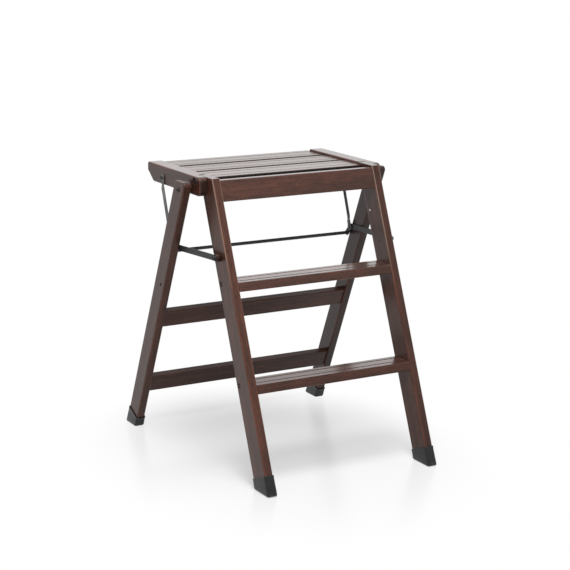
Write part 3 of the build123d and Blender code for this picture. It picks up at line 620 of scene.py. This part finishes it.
# %% [markdown]
# ## Black steel, zinc and rubber
#
# The spreader's flat bars and the bolts are painted black with a satin skin, which has a faint orange-peel
# ripple. The pull rods are drawn steel under a thinner dark coat, so they look greyer. One flat black
# would swallow their form, so a noise of scuffs varies both the colour and the gloss. A pair of numbers
# for roughness gives the values of that noise which would come out as a mirror and as chalk.

# %% Black steel
PAINT_BLACK = (0.0105, 0.0105, 0.0110)
PAINT_SCUFF = (0.030, 0.030, 0.031)
ROD_GREY = (0.075, 0.077, 0.074)
ROD_BRIGHT = (0.170, 0.172, 0.166)
SCUFFS = 60.0
SCUFF_PLACES = (0.42, 0.80)
PAINT_ROUGHNESS = (-0.9, 1.9)
RIPPLES = 900.0
RIPPLE_RELIEF = (0.25, 0.05 * MM)


def painted_steel(name, skin_colour, scuff_colour):
    """Satin paint over steel, with a fine ripple and faint scuffs."""
    material, tree, shader = new_material(name)
    place = add_node(tree, "ShaderNodeTexCoord").outputs["Object"]
    scuff = noise(tree, place, scale=SCUFFS, detail=5.0, roughness=0.65)
    colour = colour_ramp(tree, scuff, list(zip(SCUFF_PLACES, (skin_colour, scuff_colour))))
    tree.links.new(colour, shader.inputs["Base Color"])
    tree.links.new(grey_ramp(tree, scuff, *PAINT_ROUGHNESS), shader.inputs["Roughness"])
    raise_relief(tree, shader, noise(tree, place, scale=RIPPLES, detail=2.0), *RIPPLE_RELIEF)
    return material


flat_steel = painted_steel("black_steel", PAINT_BLACK, PAINT_SCUFF)
rod_steel = painted_steel("rod_steel", ROD_GREY, ROD_BRIGHT)
bar_nodes = ["spreader_strut_left", "spreader_strut_right", "lock_pins"]
rod_nodes = ["pull_rod_left", "pull_rod_right"]
wear_finish([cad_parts[node] for node in bar_nodes], flat_steel)
wear_finish([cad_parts[node] for node in rod_nodes], rod_steel)
print("flat bars and pins", len(bar_nodes), "rods", len(rod_nodes))

# %% [markdown]
# The wood screws and the small pins are bright zinc, which crystallizes in a cloudy spangle. The feet are
# matte rubber that carries a little dust near the floor. The dust could be painted on, but a share that
# falls with the height puts it on all four feet at once.

# %% Zinc and rubber
ZINC_DARK = (0.42, 0.41, 0.39)
ZINC_LIGHT = (0.66, 0.65, 0.62)
ZINC_STOPS = [(0.35, ZINC_DARK), (0.65, ZINC_LIGHT)]
ZINC_ROUGHNESS = (-0.6, 2.0)
SPANGLES = 500.0
RUBBER_BLACK = (0.0045, 0.0045, 0.0046)
RUBBER_GREY = (0.0095, 0.0095, 0.0096)
RUBBER_DUST = (0.052, 0.051, 0.050, 1)
RUBBER_STOPS = [(0.3, RUBBER_BLACK), (0.8, RUBBER_GREY)]
RUBBER_ROUGHNESS = (-0.8, 2.4)
RUBBER_SPECULAR = 0.34
RUBBER_MOTTLES = 90.0
DUST_TOP = 14 * MM
DUST_RANGE = (0.4, 0.75)
TEETH = 1400.0
TOOTH_RELIEF = (0.35, 0.08 * MM)


def zinc_steel():
    """Zinc plate: pale metal with a cloudy spangle."""
    material, tree, shader = new_material("zinc_steel")
    place = add_node(tree, "ShaderNodeTexCoord").outputs["Object"]
    spangle = noise(tree, place, scale=SPANGLES, detail=3.0)
    tree.links.new(colour_ramp(tree, spangle, ZINC_STOPS), shader.inputs["Base Color"])
    tree.links.new(grey_ramp(tree, spangle, *ZINC_ROUGHNESS), shader.inputs["Roughness"])
    shader.inputs["Metallic"].default_value = 1.0
    return material


def foot_rubber():
    """Moulded rubber with a fine matte tooth, dusty towards the floor."""
    material, tree, shader = new_material("foot_rubber")
    place = add_node(tree, "ShaderNodeTexCoord").outputs["Object"]
    mottle = noise(tree, place, scale=RUBBER_MOTTLES, detail=4.0)
    low_down = grey_ramp(tree, parts_of(tree, place)["Z"], DUST_TOP, 0.0)
    dust = calculate(tree, "MULTIPLY", low_down, grey_ramp(tree, mottle, *DUST_RANGE))
    base = colour_ramp(tree, mottle, RUBBER_STOPS)
    tree.links.new(mix_colours(tree, dust, base, RUBBER_DUST), shader.inputs["Base Color"])
    tree.links.new(grey_ramp(tree, mottle, *RUBBER_ROUGHNESS), shader.inputs["Roughness"])
    shader.inputs["Specular IOR Level"].default_value = RUBBER_SPECULAR
    raise_relief(tree, shader, noise(tree, place, scale=TEETH, detail=2.0), *TOOTH_RELIEF)
    return material


zinc = zinc_steel()
rubber = foot_rubber()
wear_finish([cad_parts["tread_screws"]], zinc)
print("zinc on the tread screws, rubber ready")

# %% [markdown]
# ## Skins from grids of points
#
# The pieces that follow are moulded or turned. Modifiers could spin or bevel them, but their loops change
# shape from end to end, so each piece is a stack of closed loops of points. A skin of quads joins every
# loop to the next, and a fan closes each end. Working on whole arrays keeps this short: the faces come
# from the grid's row and column numbers, and the sign of the enclosed volume tells which way they look.

# %% Skins from grids of points
SHARP_ANGLE = math.radians(38)


def skin(loops, ring=False):
    """Closed skin over loops of points: quads join each loop to the next. The ends are closed by fans to
    their middles, or, for a ring, the last loop is joined to the first."""
    count, around = loops.shape[:2]
    i, j = np.meshgrid(np.arange(count if ring else count - 1), np.arange(around), indexing="ij")
    here, there = i * around, (i + 1) % count * around
    k = (j + 1) % around
    quads = np.stack([here + j, here + k, there + k, there + j], axis=-1).reshape(-1, 4)
    points = loops.reshape(-1, 3)
    fans = np.empty((0, 3), dtype=int)
    if not ring:
        points = np.concatenate([points, loops[[0, -1]].mean(axis=1)])
        j, k, last = j[0], k[0], (count - 1) * around
        pole = np.full(around, count * around)
        first_fan = np.stack([pole, k, j], axis=-1)
        last_fan = np.stack([pole + 1, last + j, last + k], axis=-1)
        fans = np.concatenate([first_fan, last_fan])
    triangles = np.concatenate([quads[:, :3], quads[:, [0, 2, 3]], fans])
    a, b, c = points[triangles].transpose(1, 0, 2)
    if np.einsum("ij,ij->", a, np.cross(b, c)) < 0:
        quads, fans = quads[:, ::-1], fans[:, ::-1]
    return points, quads, fans


def make_piece(name, shells, body, nodes, finish):
    """One object from closed shells, riding on a body in place of the CAD nodes that it refines."""
    starts = np.cumsum([0] + [len(points) for points, quads, fans in shells])
    points = np.concatenate([shell[0] for shell in shells])
    kinds = [kind + start for shell, start in zip(shells, starts) for kind in shell[1:]]
    faces = [face for kind in kinds for face in kind.tolist()]
    mesh = bpy.data.meshes.new(name)
    mesh.from_pydata(points.tolist(), [], faces)
    mesh.polygons.foreach_set("use_smooth", np.ones(len(faces), dtype=bool))
    mesh.set_sharp_from_angle(angle=SHARP_ANGLE)
    piece = bpy.data.objects.new(name, mesh)
    scene.collection.objects.link(piece)
    wear_finish([piece], finish)
    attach(piece, body)
    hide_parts(*nodes)
    print(name, "faces", len(faces))


print("skins ready")

# %% [markdown]
# ## Rubber boots
#
# Each leg stands in a moulded rubber boot: a cup with a rounded lip, cut square to the timber, and a level
# sole with rounded edges. A bevelled box would miss the change from square to level. In the board's own
# axes every loop of the boot is a rounded rectangle that stands a little off the timber, and only the
# distance along the board changes round a loop. So one formula, with a share between square and level,
# makes the cup.

# %% Profile of a boot
CORNER_STEPS = 9
LIP_STEPS = 9
SOLE_STEPS = 7
WALL_SHARES = (0.08, 0.92)
WALL_STEPS = 6
BOOT_FLOOR = 4.9 * MM
BOOT_FIT = 0.05 * MM
LIP_GAP = 0.45 * MM
LIP_ROUND = 1.1 * MM
LIP_DEEP = 2.2 * MM
BEAD = 3.5 * MM
WAIST = 0.45 * MM
SOLE_ROUND = 4.0 * MM


def rounded_loop(half_wide, half_deep, corner):
    """Rounded rectangle: a quarter circle about each corner's centre in turn, joined by straight sides."""
    turn = np.arange(4)[:, None] * np.pi / 2 + np.linspace(0, np.pi / 2, CORNER_STEPS)
    to_right = np.array([1, -1, -1, 1])[:, None]
    to_top = np.array([1, 1, -1, -1])[:, None]
    sizes = (half_wide, half_deep, corner)
    half_wide, half_deep, corner = (np.asarray(size)[..., None, None] for size in sizes)
    across = (half_wide - corner) * to_right + corner * np.cos(turn)
    deep = (half_deep - corner) * to_top + corner * np.sin(turn)
    flat = (*across.shape[:-2], -1)
    return across.reshape(flat), deep.reshape(flat)


def boot_profile(wall):
    """Loops of a boot as stand-off, share of level, drop below the lip and height over the floor: up the
    inner wall, round the lip on a half circle, down the waisted outer wall, and round the sole on a quarter
    circle."""
    half_turn = np.linspace(0, np.pi, LIP_STEPS)
    quarter = np.linspace(0, np.pi / 2, SOLE_STEPS)
    outer = np.linspace(*WALL_SHARES, WALL_STEPS)
    lip = LIP_GAP + (wall - LIP_GAP) / 2 * (1 - np.cos(half_turn))
    sole = wall - SOLE_ROUND * (1 - np.cos(quarter))
    stand = [[BOOT_FIT, BOOT_FIT], lip, [wall], wall - WAIST * (1 - outer), sole]
    level = [[1, 0], 0 * half_turn, [0], outer, 0 * quarter + 1]
    drop = [[0, LIP_DEEP], LIP_ROUND * (1 - np.sin(half_turn)), [BEAD], 0 * outer + BEAD, 0 * quarter]
    sole = SOLE_ROUND * (1 - np.sin(quarter))
    height = [[BOOT_FLOOR, 0], 0 * half_turn, [0], 0 * outer + SOLE_ROUND, sole]
    return [np.concatenate(column)[:, None] for column in (stand, level, drop, height)]


print("loops of a boot", 3 + LIP_STEPS + WALL_STEPS + SOLE_STEPS)

# %% [markdown]
# The loops are worked out in the board's axes and turned back into place. The toe, where the leaning board
# reaches furthest out, is drawn in a little at the sole, as a moulded toe is.

# %% Boots
TIMBER_CORNER = 3.0 * MM
TOE_TUCK = 4.0 * MM


def boot_loops(foot, leg, turn, lean):
    """A boot's loops: rounded rectangles about the timber, whose place along it is square at the lip and, by
    the share of level, solves height = along * sin(lean) + deep * cos(lean) at the sole. The loops of the
    sole draw back from the toe, so that the toe is rounder than the heel."""
    boot, timber = turned_vertices(foot, turn), turned_vertices(leg, turn)
    middle = (timber.min(axis=0) + timber.max(axis=0)) / 2
    half = (timber.max(axis=0) - timber.min(axis=0)) / 2
    stand, level, drop, height = boot_profile(boot[:, 1].max() - timber[:, 1].max())
    tuck = TOE_TUCK / 2 * np.clip(1 - height / SOLE_ROUND, 0, 1) ** 2 * (level == 1) * (drop == 0)
    tuck[0] = 0
    across, through = half[1] + stand, half[2] + stand - tuck
    wide, deep = rounded_loop(across[:, 0], through[:, 0], TIMBER_CORNER + stand[:, 0])
    wide, deep = wide + middle[1], deep + middle[2] - np.sign(math.cos(lean)) * tuck
    square = boot[:, 0].max() - drop
    flat = (height - deep * math.cos(lean)) / math.sin(lean)
    along = (1 - level) * square + level * flat
    return np.stack([along, wide, deep], axis=-1) @ turn_matrix(turn)


frame_feet = {
    "front": ("front_frame", "front_stile_", stile_turn, stile_lean),
    "rear": ("rear_frame", "rear_leg_", leg_turn, leg_lean),
}
for end, (body, leg, turn, lean) in frame_feet.items():
    for side in ("left", "right"):
        foot = f"{end}_foot_{side}"
        loops = boot_loops(foot, leg + side, turn, lean)
        make_piece(f"{end}_boot_{side}", [skin(loops)], body, [foot], rubber)

# %% [markdown]
# ## Turned fixings
#
# Bolts, screws, rivets and pins are all lathe work: a profile of distances and radii carried round an axis
# along X. A spun curve would give the same, but a driver's socket isn't round, so each loop of the profile
# may also take its share of a second outline, a hexagon or a cross. Everything is measured from the CAD
# solids, so each fixing keeps its seat.

# %% Turned fixings
AROUND = 96
TINY = 0.05 * MM
ALMOST_ZERO = 1e-9
DOME_STEPS = 8
angle = np.linspace(0, 2 * np.pi, AROUND, endpoint=False)
plain_outline = np.ones(AROUND)


def hexagon():
    """Distance to a hexagon's edge in each direction, as a share of the distance to its corners."""
    return math.cos(np.pi / 6) / np.cos(angle % (np.pi / 3) - np.pi / 6)


def cross(arm):
    """Distance to the edge of two crossed bars in each direction, as a share of a bar's half length."""
    c, s = np.abs(np.cos(angle)) + ALMOST_ZERO, np.abs(np.sin(angle)) + ALMOST_ZERO
    return np.minimum(np.maximum(np.minimum(1 / c, arm / s), np.minimum(1 / s, arm / c)), 1)


def turned_loops(profile, axis, outline=plain_outline):
    """Loops about an X axis at (distance, radius, share of the outline): the radius is a circle's, pulled
    towards the outline by its share."""
    x, radius, share = (np.asarray(column, dtype=float)[:, None] for column in zip(*profile))
    reach = radius * (1 - share + share * outline)
    y, z = axis[0] + reach * np.cos(angle), axis[1] + reach * np.sin(angle)
    return np.stack([x + 0 * reach, y, z], axis=-1)


def pair_of(loops, ring=False):
    """The right-hand shell and its mirror image on the left."""
    return [skin(loops, ring), skin(loops * (-1, 1, 1), ring)]


def about_axis(points):
    """The distances of a turned solid's points along X, the axis they lie about, and their radii."""
    axis = (points[:, 1:].min(axis=0) + points[:, 1:].max(axis=0)) / 2
    return points[:, 0], axis, np.linalg.norm(points[:, 1:] - axis, axis=1)


def right_hand(node):
    """The same measures for those of a node's points that lie on the right."""
    points = turned_vertices(node, ACROSS)
    return about_axis(points[points[:, 0] > 0])


def dome(base, top, rim, inner=0.0):
    """Rows up an elliptical dome from its rim: the radius falls with the cosine, the distance rises with the
    sine, until the radius reaches the inner one."""
    climb = np.linspace(0, math.acos(inner / rim), DOME_STEPS + 1)[:-1]
    return [(base + (top - base) * math.sin(a), rim * math.cos(a), 0) for a in climb]


print("points round a turned piece", AROUND)

# %% [markdown]
# ### Bolts and screws
#
# The pivot bolts have button heads with a hexagon socket, and the wood screws have shallow domes with a
# cross slot. A boolean could cut the sockets, but it leaves long thin faces. So each is one profile: the
# shank hides in the wood, the head is a low dome, and the last loops drop down the socket's wall.

# %% Bolts and screws
SEAT_EDGE = 0.25 * MM
HEAD_RIM = 0.3
SOCKET_SHARE = 0.52
SOCKET_LAND = 1.25
SOCKET_DEEP = 0.55
SOCKET_TAPER = 0.94
SOCKET_POINT = 0.4
CROSS_ARM = 0.26


def headed_profile(node):
    """A shank from its inner end to the seat, a head with a short straight rim, a dome, and a socket."""
    x, axis, radius = right_hand(node)
    head = radius.max()
    seat = x[radius > head - TINY].min()
    shank = radius[np.abs(x - seat) < TINY].min()
    top = x.max()
    rim = seat + HEAD_RIM * (top - seat)
    socket = SOCKET_SHARE * head
    rows = [(x.min(), shank, 0), (seat, shank, 0), (seat, head - SEAT_EDGE, 0), (seat + SEAT_EDGE, head, 0)]
    rows += dome(rim, top, head, SOCKET_LAND * socket)
    floor = top - SOCKET_DEEP * (top - seat)
    edge = rim + (top - rim) * math.sqrt(1 - SOCKET_SHARE**2)
    rows += [(edge, socket, 1), (floor, SOCKET_TAPER * socket, 1)]
    rows += [(floor - SEAT_EDGE, SOCKET_POINT * socket, 1)]
    return rows, axis


def nut_rows(node):
    """A domed nut on a bolt's inner end, from its pole out to its rim and back to the shank."""
    x, axis, radius = right_hand(node)
    inner_end = x < x.mean()
    nut = radius[inner_end].max()
    seat = x[inner_end & (radius > nut - TINY)].max()
    return dome(seat - TINY, x.min(), nut)[::-1], seat


fixings = {
    "rear_pivot_bolts": ("platform", hexagon(), "leg_pivot_bolts"),
    "platform_pivot_bolts": ("front_frame", hexagon(), "rail_pivot_bolts"),
    "pull_rod_screws": ("platform", cross(CROSS_ARM), "rod_screws"),
    "rear_leg_screws": ("rear_frame", cross(CROSS_ARM), "leg_screws"),
    "spreader_pivot_bolts": ("front_frame", hexagon(), "strut_pivot_bolts"),
}
for node, (body, outline, name) in fixings.items():
    rows, axis = headed_profile(node)
    if node == "spreader_pivot_bolts":
        nut, nut_seat = nut_rows(node)
        shank = rows[1][1]
        rows = nut + [(nut_seat, shank, 0)] + rows[1:]
    make_piece(name, pair_of(turned_loops(rows, axis, outline)), body, [node], flat_steel)

# %% [markdown]
# ### Cap nuts and the cross rod
#
# The cross rod is turned down at both ends to make shoulders, and ends in domed cap nuts. Cylinders pushed
# into each other would leave faces hidden inside, so the rod is one skin. Half of its profile is written
# down, and the other half is the same rows in reverse, with their distances negated.

# %% Cap nuts and the cross rod
CAP_RIM = 0.35
POLE_SHARE = 0.1
ROD_BODY = 4.0 * MM
ROD_REACH = 12.0 * MM
SHOULDER_GAP = 0.6 * MM

x, axis, radius = right_hand("cross_rod_nuts")
bore = radius[np.abs(x - x.min()) < TINY].min()
bore_end = x[np.abs(radius - bore) < TINY].max()
seat, top, rim = x.min(), x.max(), radius.max()
cap = [(bore_end, bore, 0), (seat, bore, 0), (seat, rim - SEAT_EDGE, 0), (seat + SEAT_EDGE, rim, 0)]
cap += dome(seat + CAP_RIM * (top - seat), top, rim, POLE_SHARE * rim)
caps = pair_of(turned_loops(cap, axis))
make_piece("rod_cap_nuts", caps, "spreader", ["cross_rod_nuts"], flat_steel)

x, axis, radius = right_hand("cross_rod")
end, thin = x.max(), radius.max()
strut = turned_vertices("spreader_strut_right", ACROSS)
by_rod = np.linalg.norm(strut[:, 1:] - axis, axis=1) < ROD_REACH
shoulder = strut[by_rod, 0].min() - SHOULDER_GAP
half_rod = [(shoulder - SEAT_EDGE, ROD_BODY, 0), (shoulder, ROD_BODY - SEAT_EDGE, 0), (shoulder, thin, 0)]
half_rod += [(end - SEAT_EDGE, thin, 0), (end, thin - SEAT_EDGE, 0)]
rod = [(-distance, reach, share) for distance, reach, share in reversed(half_rod)] + half_rod
rod_shell = skin(turned_loops(rod, axis))
make_piece("shouldered_rod", [rod_shell], "spreader", ["cross_rod"], flat_steel)

# %% [markdown]
# ### Rivets and pins
#
# The pull rods' lower eyes are riveted with a low dome on both sides, and a small bright pin sits in each
# stile, with its dome inwards. Plain discs would look flat from the side, and the lathe above makes a dome
# just as easily, so they use it too.

# %% Rivets and pins
x, axis, radius = right_hand("pull_rod_rivets")
inner, eye_inner, eye_outer, outer = np.unique(np.round(x / MM, 2)) * MM
shank = radius[np.abs(x - eye_inner) < TINY].min()
head = radius.max()
rivet = dome(eye_inner - SEAT_EDGE, inner, head, POLE_SHARE * head)[::-1]
rivet += [(eye_inner, head - SEAT_EDGE, 0), (eye_inner, shank, 0), (eye_outer, shank, 0)]
rivet += [(eye_outer, head - SEAT_EDGE, 0)]
rivet += dome(eye_outer + SEAT_EDGE, outer, head, POLE_SHARE * head)
rivets = pair_of(turned_loops(rivet, axis))
make_piece("rod_rivets", rivets, "pull_rods", ["pull_rod_rivets"], flat_steel)

x, axis, radius = right_hand("stile_pins")
head = radius.max()
seat = x[radius > head - TINY].max()
shank = radius[np.abs(x - seat) < TINY].min()
pin = dome(seat - SEAT_EDGE, x.min(), head, POLE_SHARE * head)[::-1]
pin += [(seat, head - SEAT_EDGE, 0), (seat, shank, 0), (x.max(), shank, 0)]
pins = pair_of(turned_loops(pin, axis))
make_piece("stile_pin_heads", pins, "front_frame", ["stile_pins"], zinc)

# %% [markdown]
# ### Wooden plugs and spacers
#
# Each tread screw hides under a turned plug. A dark ring round it could be painted, but a rounded shoulder
# and a narrow groove hold a real shadow. The plugs are a shade darker than the stiles, as end grain drinks
# more stain.

# %% Plugs
PLUG_GROOVE = 1.9 * MM
PLUG_DEEP = 3.2 * MM
PLUG_SHOULDER = 0.8 * MM
TURNED_TONE = 0.55


def plug_profile(x, radius):
    """A plug from its base to the groove round its shoulder, and over a low crown."""
    face, rim = x.max(), radius.max()
    floor = face - PLUG_DEEP
    rows = [(x.min(), rim, 0), (floor, rim, 0), (floor, rim - PLUG_GROOVE / 2, 0)]
    return rows + dome(face - PLUG_SHOULDER, face, rim - PLUG_GROOVE, POLE_SHARE * rim)


points = turned_vertices("tread_plugs", ACROSS)
points = points[points[:, 0] > 0]
upper = points[:, 2] > points[:, 2].mean()
plugs = []
for chosen in (points[upper], points[~upper]):
    x, axis, radius = about_axis(chosen)
    plugs += pair_of(turned_loops(plug_profile(x, radius), axis))
plug_finish = stained_beech("beech_plugs", points, ACROSS, len(boards) + 1, TURNED_TONE, wear=0.0)
make_piece("screw_plugs", plugs, "front_frame", ["tread_plugs"], plug_finish)

# %% [markdown]
# The spreader's bars stand off the stiles on short turned spacers of wood, and the rear legs stand off the
# rails on steel ones. A tube with bevelled edges would do, but a ring is simpler: a rounded rectangle is
# carried right round the axis, so there are no ends to close.

# %% Spacers
SPACER_ROUND = 1.6 * MM
BUSH_ROUND = 0.9 * MM


def spacer_loops(node, corner):
    """A ring about an X axis whose section is a rounded rectangle between the bore and the outside."""
    points = turned_vertices(node, ACROSS)
    x, axis, radius = about_axis(points[np.sign(points[:, 0]) == np.sign(points[-1, 0])])
    half_long, half_wall = (x.max() - x.min()) / 2, (radius.max() - radius.min()) / 2
    along, out = rounded_loop(half_long, half_wall, corner)
    along, out = along + x.min() + half_long, out + (radius.max() + radius.min()) / 2
    return turned_loops(list(zip(along, out, 0 * out)), axis)


for seed, side in enumerate(("left", "right"), len(boards) + 2):
    node = "spreader_spacer_" + side
    points = turned_vertices(node, ACROSS)
    finish = stained_beech("beech_" + node, points, ACROSS, seed, TURNED_TONE, wear=0.0)
    ring = skin(spacer_loops(node, SPACER_ROUND), ring=True)
    make_piece("strut_spacer_" + side, [ring], "front_frame", [node], finish)
bushes = pair_of(spacer_loops("rear_pivot_spacers", BUSH_ROUND), ring=True)
make_piece("leg_pivot_bushes", bushes, "platform", ["rear_pivot_spacers"], flat_steel)

# %% [markdown]
# ## End
#

# %% End
print("done")
